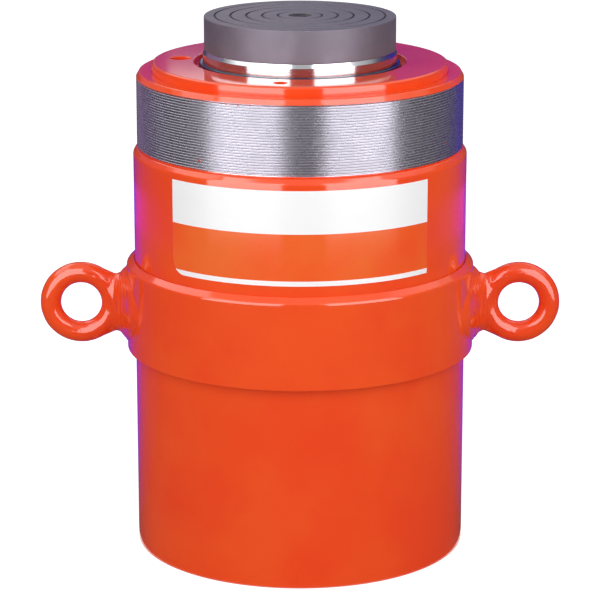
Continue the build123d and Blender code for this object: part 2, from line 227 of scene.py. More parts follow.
class Finish:
    """A material in the making."""

    def __init__(self, name):
        self.material = bpy.data.materials.new(name)
        self.material.use_nodes = True
        self.tree = self.material.node_tree
        self.tree.nodes.clear()

    def node(self, kind, settings=None, inputs=None):
        """Add a node: its settings first, and then the values or links of its sockets."""
        made = self.tree.nodes.new(kind)
        for name, setting in (settings or {}).items():
            setattr(made, name, setting)
        for name, given in (inputs or {}).items():
            socket = made.inputs[name]
            if isinstance(given, Value):
                self.tree.links.new(given.socket, socket)
            elif isinstance(given, bpy.types.NodeSocket):
                self.tree.links.new(given, socket)
            else:
                socket.default_value = given
        return made

    def reckon(self, operation, *numbers):
        """The Math node for an operation on one or more numbers."""
        node = self.node("ShaderNodeMath", {"operation": operation}, dict(enumerate(numbers)))
        return Value(self, node.outputs[0])

    def place(self):
        """Where a point lies on the piece, in metres."""
        return self.node("ShaderNodeTexCoord").outputs["Object"]

    def parts(self, vector):
        """The three numbers of a vector."""
        node = self.node("ShaderNodeSeparateXYZ", None, {"Vector": vector})
        return [Value(self, socket) for socket in node.outputs]

    def reach(self, vector):
        """The distance from the upright axis, and the height."""
        x, y, z = self.parts(vector)
        return self.reckon("SQRT", x * x + y * y), z

    def cloud(self, vector, size, detail=2.0):
        """Soft noise between 0 and 1, with lumps of about this size in metres."""
        inputs = {"Vector": vector, "Scale": 1 / size, "Detail": detail}
        return Value(self, self.node("ShaderNodeTexNoise", None, inputs).outputs[0])

    def rings(self, vector, size):
        """Fine turning marks, which depend only on height and distance from the axis."""
        radius, z = self.reach(vector)
        inputs = {"W": (radius + z) * (1 / size), "Scale": 1.0, "Detail": 3.0}
        node = self.node("ShaderNodeTexNoise", {"noise_dimensions": "1D"}, inputs)
        return Value(self, node.outputs[0])

    def slope(self, number, low, high):
        """A number eased from 0 at low to 1 at high."""
        settings = {"interpolation_type": "SMOOTHSTEP"}
        inputs = {"Value": number, "From Min": low, "From Max": high}
        return Value(self, self.node("ShaderNodeMapRange", settings, inputs).outputs[0])

    def mixed(self, factor, first, second):
        """A colour between two colours."""
        node = self.node("ShaderNodeMix", {"data_type": "RGBA"}, {0: factor, 6: first, 7: second})
        return node.outputs[2]

    def bump(self, height, distance):
        """A normal raised by a height from 0 to 1, over a distance in metres."""
        inputs = {"Height": height, "Distance": distance, "Strength": 1.0}
        return self.node("ShaderNodeBump", None, inputs).outputs["Normal"]

    def surface(self, inputs):
        """A Principled shader."""
        return self.node("ShaderNodeBsdfPrincipled", None, inputs).outputs["BSDF"]

    def done(self, shader):
        """Connect the shader and hand over the material."""
        self.node("ShaderNodeOutputMaterial", None, {"Surface": shader})
        return self.material


# Finishes


def scaled(shade, factor, lift=0.0):
    """A colour made darker or paler, up to white."""
    return tuple(min(part * factor + lift, 1.0) for part in shade[:3]) + (1.0,)


def enamel_shader(finish, shade, deep_shade):
    """Gloss enamel with a light orange peel, and a slow change of colour."""
    place = finish.place()
    drift = finish.cloud(place, 120 * MM, detail=3.0)
    peel = finish.cloud(place, 3.2 * MM)
    ripple = finish.cloud(place, 17 * MM)
    speckle = finish.cloud(place, 1.1 * MM)
    tone = drift * 0.75 + speckle * 0.25
    return finish.surface({
        "Base Color": finish.mixed(finish.slope(tone, 0.35, 0.65), shade, deep_shade),
        "Roughness": 0.07 + drift * 0.06,
        "Normal": finish.bump(peel * 0.4 + ripple * 0.6, 0.015 * MM),
        "IOR": 1.62,
    })


def enamel(name, shade, deep_shade):
    """The enamel as a material."""
    finish = Finish(name)
    return finish.done(enamel_shader(finish, shade, deep_shade))


def turned_metal_shader(finish, shade, roughness, mark_size, mark_depth, stain=0.25, brushed=0.0, metal=1.0):
    """Metal with turning marks and a slight stain. Brushed metal spreads its highlights along the axis."""
    place = finish.place()
    marks = finish.rings(place, mark_size)
    dull = finish.cloud(place, 22 * MM, detail=4.0)
    stained = scaled(shade, 1 - stain)
    return finish.surface({
        "Base Color": finish.mixed(finish.slope(dull, 0.4, 0.75), shade, stained),
        "Metallic": metal,
        "Roughness": roughness * 0.8 + dull * (roughness * 0.4),
        "Normal": finish.bump(marks, mark_depth),
        "Anisotropic": brushed,
        "Anisotropic Rotation": 0.25,
    })


def turned_metal(name, shade, roughness, mark_size, mark_depth, stain=0.25, brushed=0.0):
    """The turned metal as a material."""
    finish = Finish(name)
    return finish.done(turned_metal_shader(finish, shade, roughness, mark_size, mark_depth, stain, brushed))


def oxide(name, shade, face=0.0, face_radius=0.0):
    """Satin black oxide on turned steel, rubbed a little paler in places. Where a face's height and radius
    are given, painted shade darkens everything below the face inside its grooved ring, the grooves and the
    hole, to a quarter of the colour."""
    finish = Finish(name)
    place = finish.place()
    rubbed = finish.cloud(place, 30 * MM, detail=5.0)
    grain = finish.cloud(place, 0.8 * MM, detail=3.0)
    marks = finish.rings(place, 0.5 * MM)
    tone = finish.mixed(finish.slope(rubbed, 0.4, 0.8), shade, scaled(shade, 1.22))
    # Painted shade: below the face and inside the grooved ring, the colour drops to a quarter, as shade in
    # the grooves.
    if face:
        radius, height = finish.reach(place)
        sunk = 1 - finish.slope(height, face - 0.6 * MM, face - 0.15 * MM)
        inside = 1 - finish.slope(radius, face_radius - 1 * MM, face_radius)
        tone = finish.mixed(sunk * inside, tone, scaled(shade, 0.25))
    return finish.done(finish.surface({
        "Base Color": tone,
        "Metallic": 0.4,
        "Roughness": 0.44 + grain * 0.12,
        "Normal": finish.bump(marks * 0.6 + grain * 0.4, 0.012 * MM),
    }))


def polymer(name, shade, roughness, grain_depth):
    """Rubber or plastic with a fine grain."""
    finish = Finish(name)
    place = finish.place()
    grain = finish.cloud(place, 0.6 * MM, detail=3.0)
    patch = finish.cloud(place, 14 * MM, detail=3.0)
    paler = scaled(shade, 1.25, 0.01)
    return finish.done(finish.surface({
        "Base Color": finish.mixed(finish.slope(patch, 0.4, 0.7), shade, paler),
        "Roughness": roughness + patch * 0.12,
        "Normal": finish.bump(grain, grain_depth),
    }))


def film(name, shade):
    """Printed vinyl film under a thin gloss."""
    finish = Finish(name)
    place = finish.place()
    wave = finish.cloud(place, 9 * MM)
    return finish.done(finish.surface({
        "Base Color": finish.mixed(finish.cloud(place, 40 * MM), shade, scaled(shade, 0.97)),
        "Roughness": 0.3 + wave * 0.08,
        "Normal": finish.bump(wave, 0.01 * MM),
    }))


# Each stray spot of paint on the collar thread: its turn from the front in degrees, and its height and radius
# in millimetres.
PAINT_SPOTS = (
    (-46.0, 515.0, 1.0),
    (-36.4, 513.0, 1.5),
    (-25.3, 583.8, 0.9),
    (-21.0, 583.2, 0.8),
    (61.0, 521.0, 0.8),
    (140.0, 560.0, 1.2),
    (201.0, 531.0, 1.0),
)


def collar_finish(name, colours, size):
    """The bare collar thread, with the edges of the paint above and below and a few stray spots of it."""
    finish = Finish(name)
    place = finish.place()
    steel = turned_metal_shader(
        finish, colours.thread, 0.27, 2.5 * MM, 0.001 * MM, stain=0.06, brushed=0.35, metal=0.95
    )
    paint = enamel_shader(finish, colours.paint, colours.deep_paint)
    height = finish.parts(place)[2]
    waver = finish.cloud(place, 6 * MM, detail=3.0) * (1.2 * MM)
    blur = 0.25 * MM
    above = finish.slope(height + waver, size.collar_top, size.collar_top + blur)
    below = 1 - finish.slope(height - waver, size.collar_bottom, size.collar_bottom + blur)
    mask = finish.reckon("MAXIMUM", above, below)
    for turn, level, radius in PAINT_SPOTS:
        spot = from_front(math.radians(turn), size.collar_crest, level * MM)
        apart = finish.node("ShaderNodeVectorMath", {"operation": "DISTANCE"}, {0: place, 1: spot})
        distance = Value(finish, apart.outputs["Value"])
        near = 1 - finish.slope(distance, radius * MM, (radius + 0.4) * MM)
        mask = finish.reckon("MAXIMUM", mask, near)
    blended = finish.node("ShaderNodeMixShader", None, {0: mask, 1: steel, 2: paint})
    return finish.done(blended.outputs[0])


def chrome(name, shade):
    """Ground and polished hard chrome."""
    return turned_metal(name, shade, 0.17, 2.5 * MM, 0.0004 * MM, stain=0.04, brushed=0.85)


def make_finish(name):
    """Make the finish of this name. Most are named for the record's material slots."""
    colours = bpy.context.scene.cylinder_colours
    size = bpy.context.scene.cylinder_sizes
    made_name = "finish_" + name
    if name == "orange_paint":
        return enamel(made_name, colours.paint, colours.deep_paint)
    if name == "label_orange":
        return enamel(made_name, colours.label_orange, colours.paint)
    if name == "label_white":
        return film(made_name, colours.label_white)
    if name == "collar_thread":
        return collar_finish(made_name, colours, size)
    if name == "machined_steel":
        return turned_metal(made_name, colours.steel, 0.3, 0.4 * MM, 0.003 * MM)
    if name == "chromed_steel":
        return chrome(made_name, colours.chrome)
    if name == "blackened_steel":
        return oxide(made_name, colours.oxide)
    # The saddle's oxide, with painted shade in its grooves.
    if name == "saddle_oxide":
        face_radius = size.groove_radius + 4 * size.groove_step + size.groove_width
        return oxide(made_name, colours.oxide, size.saddle_top, face_radius)
    if name == "plated_steel":
        return turned_metal(made_name, colours.zinc, 0.28, 0.3 * MM, 0.002 * MM)
    if name == "brass":
        return turned_metal(made_name, recorded_colour[name], 0.25, 0.3 * MM, 0.002 * MM)
    if name == "seal_urethane":
        return polymer(made_name, colours.wiper, 0.16, 0.004 * MM)
    return polymer(made_name, recorded_colour[name], 0.5, 0.015 * MM)


def finish_for(name):
    """A finish, made the first time that it is asked for."""
    return bpy.data.materials.get("finish_" + name) or make_finish(name)


# Shapes


def round_points(before, corner, after, radius):
    """The points of a round of this radius at a corner, with a point a little way off each end."""
    back = (before - corner).normalized()
    ahead = (after - corner).normalized()
    opening = back.angle(ahead)
    setback = radius / math.tan(opening / 2)
    middle = corner + (back + ahead).normalized() * (radius / math.sin(opening / 2))
    start = corner + back * setback
    end = corner + ahead * setback
    steps = max(3, math.ceil(math.degrees(math.pi - opening) / 12))
    first = start - middle
    turn = first.angle_signed(end - middle)
    points = []
    for step in range(steps + 1):
        spun = first.copy()
        spun.rotate(Matrix.Rotation(-turn * step / steps, 2))
        points.append(middle + spun)
    margin = min(0.4 * radius, 0.5 * MM)
    if (before - start).length > 2 * margin:
        points.insert(0, start + back * margin)
    if (after - end).length > 2 * margin:
        points.append(end + ahead * margin)
    return points


def outline_of(corners):
    """The points of an outline of (radius, height) corners. A third number rounds its corner."""
    points = []
    for index, corner in enumerate(corners):
        here = Vector(corner[:2])
        if len(corner) == 2:
            points.append(here)
            continue
        before = Vector(corners[index - 1][:2])
        after = Vector(corners[(index + 1) % len(corners)][:2])
        points.extend(round_points(before, here, after, corner[2]))
    return points


def groove(wall, floor, first, last):
    """The corners of a square groove: the radius of the wall that it is cut in, the radius of its floor, and
    the two heights that it runs between."""
    return [(wall, first), (floor, first), (floor, last), (wall, last)]


def piece_from(name, shape):
    """A piece from a finished shape."""
    mesh = bpy.data.meshes.new(name)
    shape.to_mesh(mesh)
    shape.free()
    piece = bpy.data.objects.new(name, mesh)
    bpy.context.scene.collection.objects.link(piece)
    return piece


def smooth(piece, sharp_angle=38.0):
    """Shade a piece smooth, apart from the edges that turn more than this many degrees."""
    piece.data.polygons.foreach_set("use_smooth", [True] * len(piece.data.polygons))
    piece.data.set_sharp_from_angle(angle=math.radians(sharp_angle))


def spin_outline(shape, points, segments):
    """Spin an outline about the upright axis into a closed skin."""
    rings = []
    for radius, height in points:
        if radius < SMALLEST:
            rings.append([shape.verts.new((0, 0, height))])
            continue
        turns = [math.tau * step / segments for step in range(segments)]
        rings.append([shape.verts.new((radius * math.cos(t), radius * math.sin(t), height)) for t in turns])
    for lower, upper in zip(rings, rings[1:] + rings[:1]):
        for step in range(segments):
            ahead = step + 1
            corners = [
                lower[step % len(lower)],
                lower[ahead % len(lower)],
                upper[ahead % len(upper)],
                upper[step % len(upper)],
            ]
            kept = list(dict.fromkeys(corners))
            if len(kept) > 2:
                shape.faces.new(kept)


def turned(name, corners, segments=FINE_TURN):
    """A closed piece turned about the upright axis from an outline of (radius, height) corners."""
    shape = bmesh.new()
    spin_outline(shape, outline_of(corners), segments)
    bmesh.ops.recalc_face_normals(shape, faces=shape.faces)
    piece = piece_from(name, shape)
    smooth(piece)
    return piece


def settle(piece):
    """Turn a piece's modifiers into its mesh."""
    graph = bpy.context.evaluated_depsgraph_get()
    settled = bpy.data.meshes.new_from_object(
        piece.evaluated_get(graph), preserve_all_data_layers=True, depsgraph=graph
    )
    piece.modifiers.clear()
    piece.data = settled


def bar(radius, start, end, segments=64):
    """A round bar between two points, to cut a hole with."""
    start = Vector(start)
    run = Vector(end) - start
    place = Matrix.Translation(start + run / 2) @ run.to_track_quat("Z", "Y").to_matrix().to_4x4()
    shape = bmesh.new()
    sizes = {"radius1": radius, "radius2": radius, "depth": run.length}
    bmesh.ops.create_cone(shape, cap_ends=True, segments=segments, matrix=place, **sizes)
    return piece_from("cutter", shape)


def sunk_hole(middle, radius, bottom, face, edge):
    """An upright hole with a bevelled edge, to cut from a face at this height."""
    above = face + 1 * MM
    piece = turned("cutter", [
        (0, bottom),
        (radius, bottom),
        (radius, face - edge),
        (radius + edge, face),
        (radius + edge, above),
        (0, above),
    ], 64)
    piece.data.transform(Matrix.Translation((middle[0], middle[1], 0)))
    return piece


def carve(piece, cutters, operation="DIFFERENCE"):
    """Cut other shapes out of a piece, or keep only what they share, and remove them."""
    for cutter in cutters:
        change = piece.modifiers.new("carve", "BOOLEAN")
        change.operation = operation
        change.solver = "EXACT"
        change.object = cutter
    settle(piece)
    for cutter in cutters:
        bpy.data.objects.remove(cutter)
    smooth(piece)


# One turn of a thread, as (share of the pitch, share of the depth): a worn round crest, a flank, the root and
# a flank.
THREAD_TURN = (
    (0.0, 0.78),
    (0.07, 0.95),
    (0.16, 1.0),
    (0.27, 0.93),
    (0.36, 0.72),
    (0.6, 0.06),
    (0.7, 0.0),
    (0.8, 0.1),
)


def screw_thread(name, crest, root, wall, bottom, top, pitch, columns=FINE_TURN):
    """A ring with a real helical thread. The wall is the radius of its plain side, inside or outside."""
    points = len(THREAD_TURN)
    rows = (math.ceil((top - bottom) / pitch) + 2) * points
    lead_in = 1.0 * MM
    land = 0.9 * MM
    shape = bmesh.new()
    grid = []
    for column in range(columns):
        around = math.tau * column / columns
        line = []
        for row in range(rows):
            along, level = THREAD_TURN[row % points]
            height = bottom + pitch * (row // points + along - 1 + column / columns)
            height = min(max(height, bottom), top)
            level = max(level, 1 - (top - height) / land)
            level = level * min(1.0, (height - bottom) / lead_in)
            radius = root + (crest - root) * level
            line.append(shape.verts.new((radius * math.cos(around), radius * math.sin(around), height)))
        grid.append(line)
    for column in range(columns):
        shift = points if column + 1 == columns else 0
        here = grid[column]
        there = grid[(column + 1) % columns]
        for row in range(rows - 1 - shift):
            shape.faces.new((here[row], there[row + shift], there[row + shift + 1], here[row + 1]))
    bmesh.ops.remove_doubles(shape, verts=shape.verts, dist=SMALLEST)
    rims = [edge for edge in shape.edges if edge.is_boundary]
    grown = bmesh.ops.extrude_edge_only(shape, edges=rims)["geom"]
    for vertex in grown:
        if isinstance(vertex, bmesh.types.BMVert):
            flat = Vector((vertex.co.x, vertex.co.y, 0)).normalized() * wall
            vertex.co = Vector((flat.x, flat.y, vertex.co.z))
    rims = [edge for edge in shape.edges if edge.is_boundary]
    bmesh.ops.bridge_loops(shape, edges=rims)
    bmesh.ops.recalc_face_normals(shape, faces=shape.faces)
    piece = piece_from(name, shape)
    smooth(piece, 50.0)
    return piece


def skin(shape, rings, looped=False):
    """Skin a row of rings that have the same number of points. A looped row ends where it starts."""
    made = [[shape.verts.new(point) for point in ring] for ring in rings]
    following = made[1:] + made[:1] if looped else made[1:]
    for first, second in zip(made, following):
        for step in range(len(first)):
            ahead = (step + 1) % len(first)
            shape.faces.new((first[step], first[ahead], second[ahead], second[step]))
    return made


def loft(shape, rings):
    """Skin a row of rings and close both ends."""
    made = skin(shape, rings)
    shape.faces.new(list(reversed(made[0])))
    shape.faces.new(made[-1])


def hoop(centre, outward, sideways, radius, count):
    """The points of a circle about a centre, in the plane of two directions."""
    spins = [math.tau * step / count for step in range(count)]
    return [centre + (outward * math.cos(spin) + sideways * math.sin(spin)) * radius for spin in spins]


def from_front(turn, radius, height):
    """The point at a turn from the front, and at a distance from the upright axis."""
    return Vector((radius * math.sin(turn), -radius * math.cos(turn), height))


def oval(reach, half_width, half_height, height, count=64):
    """The points of an oval across the neck of an eye, at a distance from the barrel's axis."""
    turns = [math.tau * step / count for step in range(count)]
    return [(reach, half_width * math.cos(t), height + half_height * math.sin(t)) for t in turns]


def place_piece(piece, body, stands_for, finishes):
    """Give a piece its finishes, the body that carries it and the nodes that it stands for."""
    for name in finishes:
        piece.data.materials.append(finish_for(name))
    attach(piece, body)
    if stands_for:
        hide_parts(*stands_for)
    return piece


def finish_faces(piece, index, chosen):
    """Give the faces whose middle passes a test another of the piece's finishes."""
    for face in piece.data.polygons:
        if chosen(face.center):
            face.material_index = index


# Operators: one for each piece or group of like pieces


PORTS = ("advance", "retract")
# Turns a piece that is built upright so that it points behind.
LAID_BACK = Matrix.Rotation(math.radians(-90), 4, "X")


def port_height(port):
    """The height of a port and its coupler."""
    low, high = box_of[port + "_coupler_body"]
    return (low.z + high.z) / 2


class CYLINDER_OT_barrel(Operator):
    """Build the painted barrel, with its bore, its ports and the flat spots behind"""

    bl_idname = "cylinder.barrel"
    bl_label = "Barrel"

    def execute(self, context):
        size = context.scene.cylinder_sizes
        core = size.collar_root - 0.3 * MM
        inner_rim = size.gland_radius + 0.1 * MM
        thread_radius = 168.0 * MM
        thread_bottom = 527.0 * MM
        piece = turned("barrel_painted", [
            (0, 0),
            (size.barrel_radius, 0, 2 * MM),
            (size.barrel_radius, size.shoulder_bottom, 6 * MM),
            (198.9 * MM, size.shoulder_top, 2.6 * MM),
            (core, size.shoulder_top + 0.8 * MM),
            (core, size.collar_top - 0.2 * MM),
            (size.collar_crest - 0.05 * MM, size.collar_top - 0.2 * MM),
            (size.collar_crest - 0.05 * MM, size.collar_top, 0.1 * MM),
            (size.mouth_radius, size.barrel_top, 1.2 * MM),
            (inner_rim, size.barrel_top, 1.1 * MM),
            (inner_rim, 580.0 * MM),
            (thread_radius, 580.0 * MM),
            (thread_radius, thread_bottom),
            (size.bore_radius, thread_bottom),
            (size.bore_radius, size.base_thickness, 6 * MM),
            (0, size.base_thickness),
        ])
        cutters = []
        for port in PORTS:
            height = port_height(port)
            flat_spot = (0, size.flat_spot_reach, height)
            port_bottom = (0, size.flat_spot_reach - 20 * MM, height)
            outside = (0, size.barrel_radius + 5 * MM, height)
            cutters.append(bar(size.flat_spot_radius, flat_spot, outside))
            cutters.append(bar(8.4 * MM, port_bottom, outside))
        carve(piece, cutters)
        bore_edge = size.gland_radius - 2 * MM

        def in_bore(middle):
            inside = math.hypot(middle.x, middle.y) < bore_edge
            return inside and size.base_thickness - SMALLEST < middle.z < size.barrel_top - 5 * MM

        place_piece(piece, "barrel", ["barrel"], ["orange_paint", "machined_steel"])
        finish_faces(piece, 1, in_bore)
        return {"FINISHED"}


class CYLINDER_OT_collar_thread(Operator):
    """Cut the bare helical thread round the top of the barrel"""

    bl_idname = "cylinder.collar_thread"
    bl_label = "Collar thread"

    def execute(self, context):
        size = context.scene.cylinder_sizes
        piece = screw_thread(
            "barrel_collar_thread",
            crest=size.collar_crest,
            root=size.collar_root,
            wall=size.collar_root - 2 * MM,
            bottom=size.collar_bottom,
            top=size.collar_top,
            pitch=size.collar_pitch,
        )
        place_piece(piece, "barrel", ["barrel"], ["collar_thread"])
        return {"FINISHED"}


class CYLINDER_OT_gland_nut(Operator):
    """Build the painted gland nut, with its relief-valve pocket and spanner holes"""

    bl_idname = "cylinder.gland_nut"
    bl_label = "Gland nut"

    def execute(self, context):
        size = context.scene.cylinder_sizes
        rod_bore = 118.1 * MM
        wiper_seat = 123.0 * MM
        wear_ring_radius = 120.5 * MM
        thread_radius = 167.9 * MM
        fit_radius = size.bore_radius - 0.1 * MM
        piece = turned("gland_nut_painted", [
            (rod_bore, 502 * MM, 1.5 * MM),
            (fit_radius, 502 * MM, 2 * MM),
            *groove(fit_radius, 140.5 * MM, 508 * MM, 517 * MM),
            (fit_radius, 528 * MM),
            (thread_radius, 528 * MM),
            (thread_radius, 580.1 * MM),
            (size.gland_radius, 580.1 * MM),
            (size.gland_radius, size.gland_top, 3.2 * MM),
            (size.recess_radius, size.gland_top, 1.0 * MM),
            (size.recess_radius, size.recess_bottom, 0.6 * MM),
            (wiper_seat, size.recess_bottom),
            (wiper_seat, 588 * MM),
            (rod_bore, 588 * MM),
            *groove(rod_bore, 126 * MM, 582 * MM, 566 * MM),
            *groove(rod_bore, wear_ring_radius, 560 * MM, 538 * MM),
            *groove(rod_bore, wear_ring_radius, 530 * MM, 508 * MM),
        ])
        low, high = box_of["relief_valve_plug"]
        valve = (low + high) / 2
        top = size.gland_top
        cutters = [sunk_hole(valve, 12.45 * MM, 560 * MM, top, 1.2 * MM)]
        spanner_reach = 152.9 * MM
        for turn in (math.radians(261.5), math.radians(81.5)):
            middle = (spanner_reach * math.cos(turn), spanner_reach * math.sin(turn))
            cutters.append(sunk_hole(middle, 8.1 * MM, top - 14 * MM, top, 0.5 * MM))
        carve(piece, cutters)
        place_piece(piece, "barrel", ["gland_nut"], ["orange_paint", "machined_steel"])
        finish_faces(piece, 1, lambda middle: middle.z < 580 * MM)
        return {"FINISHED"}


class CYLINDER_OT_wiper(Operator):
    """Build the wiper ring that stands round the rod in the gland nut's recess"""

    bl_idname = "cylinder.wiper"
    bl_label = "Wiper"

    def execute(self, context):
        size = context.scene.cylinder_sizes
        inner = size.rod_radius + 0.05 * MM
        heel = 122.95 * MM
        lip = 121.5 * MM
        top = size.gland_top
        piece = turned("wiper_ring", [
            (inner, 588.1 * MM, 0.5 * MM),
            (heel, 588.1 * MM),
            (heel, size.recess_bottom),
            (lip, size.recess_bottom + 1 * MM),
            (lip, top - 0.5 * MM, 1.4 * MM),
            (inner, top - 0.9 * MM, 0.4 * MM),
            (inner + 2 * MM, top - 5 * MM),
            (inner + 2 * MM, top - 8 * MM),
            (inner, top - 9.5 * MM),
        ])
        place_piece(piece, "barrel", ["wiper"], ["seal_urethane"])
        return {"FINISHED"}


class CYLINDER_OT_rod(Operator):
    """Build the chromed piston rod"""

    bl_idname = "cylinder.rod"
    bl_label = "Piston rod"

    def execute(self, context):
        size = context.scene.cylinder_sizes
        spigot = 70 * MM
        piston_top = box_of["piston"][1].z
        bottom = box_of["piston_rod"][0].z
        socket_bottom = 588.4 * MM
        piece = turned("piston_rod_chromed", [
            (0, bottom),
            (spigot, bottom, 2 * MM),
            (spigot, piston_top),
            (size.rod_radius, piston_top),
            (size.rod_radius, size.rod_top - 5 * MM, 0.5 * MM),
            (size.rod_radius - 2.3 * MM, size.rod_top, 0.6 * MM),
            (size.socket_radius + 1 * MM, size.rod_top),
            (size.socket_radius, size.rod_top - 1 * MM),
            (size.socket_radius, socket_bottom),
            (0, socket_bottom),
        ])
        place_piece(piece, "rod", ["piston_rod"], ["chromed_steel", "machined_steel"])
        finish_faces(piece, 1, lambda middle: math.hypot(middle.x, middle.y) < spigot + 1 * MM)
        return {"FINISHED"}


class CYLINDER_OT_saddle(Operator):
    """Build the grooved saddle, with its threaded hole"""

    bl_idname = "cylinder.saddle"
    bl_label = "Saddle"

    def execute(self, context):
        size = context.scene.cylinder_sizes
        spigot = size.socket_radius - 0.05 * MM
        top = size.saddle_top
        bottom = box_of["saddle"][0].z
        thread_root = size.hole_radius + 1.2 * MM
        corners = [
            (thread_root + 0.2 * MM, bottom),
            (spigot, bottom, 1 * MM),
            *groove(spigot, 34.5 * MM, 600 * MM, 604 * MM),
            (spigot, size.rod_top),
            (size.saddle_radius, size.rod_top, 0.8 * MM),
            (size.saddle_radius, top, 1.3 * MM),
        ]
        half_width = size.groove_width / 2
        for step in reversed(range(5)):
            middle = size.groove_radius + step * size.groove_step
            corners.extend([
                (middle + half_width, top, 0.35 * MM),
                (middle + half_width * 0.45, top - size.groove_depth, 0.3 * MM),
                (middle - half_width * 0.45, top - size.groove_depth, 0.3 * MM),
                (middle - half_width, top, 0.35 * MM),
            ])
        corners.extend([
            (thread_root + 2 * MM, top, 0.3 * MM),
            (thread_root + 0.2 * MM, top - 1.8 * MM),
        ])
        piece = turned("saddle_grooved", corners)
        place_piece(piece, "saddle", ["saddle"], ["saddle_oxide"])
        hole = screw_thread(
            "saddle_hole_thread",
            crest=size.hole_radius,
            root=thread_root,
            wall=thread_root + 1 * MM,
            bottom=bottom + 0.5 * MM,
            top=top - 1.9 * MM,
            pitch=2.8 * MM,
            columns=SMALL_TURN,
        )
        place_piece(hole, "saddle", ["saddle"], ["blackened_steel"])
        return {"FINISHED"}


class CYLINDER_OT_lifting_band(Operator):
    """Build the bevelled band round the barrel"""

    bl_idname = "cylinder.lifting_band"
    bl_label = "Lifting band"

    def execute(self, context):
        size = context.scene.cylinder_sizes
        inner = size.barrel_radius + 0.05 * MM
        lip = inner + size.crevice_width
        fall = (size.band_top - size.band_edge) / (size.band_radius - inner)
        lip_top = size.band_top - size.crevice_width * fall
        piece = turned("lifting_band_painted", [
            (inner, size.band_bottom + 2.5 * MM),
            (inner + 0.6 * MM, size.band_bottom, 0.2 * MM),
            (size.band_radius, size.band_bottom, 0.9 * MM),
            (size.band_radius, size.band_edge, 4.5 * MM),
            (lip, lip_top, 0.7 * MM),
            (lip, lip_top - size.crevice_depth),
            (inner, lip_top - size.crevice_depth),
        ])
        place_piece(piece, "barrel", ["lifting_band"], ["orange_paint"])
        return {"FINISHED"}


# Sections of the neck and of the weld: distance from the axis, half width and half height, in millimetres.
NECK_SECTIONS = ((254.0, 12.6, 47.6), (238.0, 14.0, 41.0), (224.0, 18.0, 34.5), (205.0, 24.0, 34.0))
WELD_SECTIONS = (
    (229.0, 17.4, 34.0),
    (221.0, 29.0, 38.5),
    (213.4, 52.0, 46.5),
    (206.0, 74.0, 50.0),
    (192.0, 91.0, 51.0),
)


# Where one weld bead ends and the next starts, in millimetres along the weld's face from the neck.
BEAD_EDGES = (0.0, 13.0, 32.0, 58.0, 86.0)


def weld_path():
    """How far along the weld's face each of its sections lies, from the neck outwards."""
    steps = [0.0]
    for (reach, width, _), (next_reach, next_width, _) in zip(WELD_SECTIONS, WELD_SECTIONS[1:]):
        steps.append(steps[-1] + math.hypot(next_reach - reach, next_width - width))
    return steps


def along_weld(reach, path):
    """The distance along the weld's face, for a distance from the barrel's axis, in millimetres."""
    for index, (section, following) in enumerate(zip(WELD_SECTIONS, WELD_SECTIONS[1:])):
        if reach >= following[0]:
            passed = (section[0] - reach) / (section[0] - following[0])
            return path[index] + passed * (path[index + 1] - path[index])
    return path[-1]


def bead_rise(along):
    """The height of a weld bead, from 0 in the valley between two beads to 1 at its crown."""
    for start, end in zip(BEAD_EDGES, BEAD_EDGES[1:]):
        if start <= along <= end:
            across = 2 * (along - start) / (end - start) - 1
            return math.sqrt(max(0.0, 1 - across * across))
    return 0.0


def neck_seam(point, centre_height):
    """How much of the forging's parting ridge stands at a point of the neck."""
    ridge_width = 0.9 * MM
    start = Vector((250.0 * MM, centre_height + 34.0 * MM))
    end = Vector((231.0 * MM, centre_height + 25.5 * MM))
    run = end - start
    flat = Vector((point.x, point.z)) - start
    share_along = flat.dot(run) / run.length_squared
    if not -0.2 < share_along < 1.1:
        return 0.0
    apart = (flat - run * share_along).length
    return math.exp(-((apart / ridge_width) ** 2))


def eye_shape(size):
    """The ring, neck and weld of the right eye as overlapping closed skins."""
    section = (size.eye_outer_radius - size.eye_hole_radius) / 2
    middle = size.eye_outer_radius - section
    shape = bmesh.new()
    loft(shape, [oval(r * MM, w * MM, h * MM, size.eye_height) for r, w, h in NECK_SECTIONS])
    bmesh.ops.recalc_face_normals(shape, faces=shape.faces)
    neck = piece_from("neck", shape)
    front = (size.eye_reach, -0.1, size.eye_height)
    back = (size.eye_reach, 0.1, size.eye_height)
    carve(neck, [bar(middle, front, back, 96)])
    shape = bmesh.new()
    shape.from_mesh(neck.data)
    bpy.data.objects.remove(neck)
    around = 96
    across = 40
    centre = Vector((size.eye_reach, 0, size.eye_height))
    rings = []
    for step in range(around):
        turn = math.tau * step / around
        outward = Vector((math.cos(turn), 0, math.sin(turn)))
        rings.append(hoop(centre + outward * middle, outward, Vector((0, 1, 0)), section, across))
    skin(shape, rings, looped=True)
    loft(shape, [oval(r * MM, w * MM, h * MM, size.eye_height) for r, w, h in WELD_SECTIONS])
    bmesh.ops.recalc_face_normals(shape, faces=shape.faces)
    return shape


